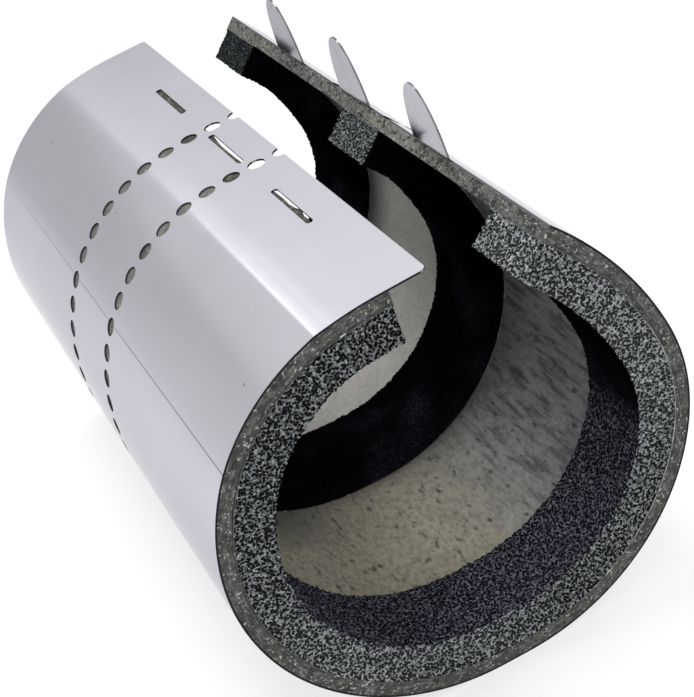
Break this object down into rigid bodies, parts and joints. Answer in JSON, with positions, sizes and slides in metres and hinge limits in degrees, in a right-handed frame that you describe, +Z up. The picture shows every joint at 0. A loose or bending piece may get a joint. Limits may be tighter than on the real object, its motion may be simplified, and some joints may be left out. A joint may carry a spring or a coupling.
{
  "type": "pipe fire collar",
  "caption": "Open C-shaped fire collar for a pipe: perforated steel jacket with locking tabs and slots, a full-length swelling liner and foam strips inside.",
  "frame": {"origin": "under the middle of the collar's box, on the surface it lies on", "axes": "+Y along the pipe towards the rear end, +X across towards the tabbed edge, +Z up through the gap"},
  "size_m": [0.0906, 0.15, 0.0951],
  "materials": {
    "jacket_steel": "bright rolled stainless sheet",
    "liner_graphite": "matt grey-green with pale flecks, beige inside",
    "seal_foam": "open-pored dark grey foam",
    "glue_film": "thin pale glue film"
  },
  "bodies": {
    "root": {"steel_jacket": "jacket_steel", "intumescent_liner": "liner_graphite", "foam_strip_front": "seal_foam", "foam_strip_middle": "seal_foam", "foam_strip_rear": "seal_foam", "adhesive_film_front": "glue_film", "adhesive_film_middle": "glue_film", "adhesive_film_rear": "glue_film"}
  },
  "joints": []
}
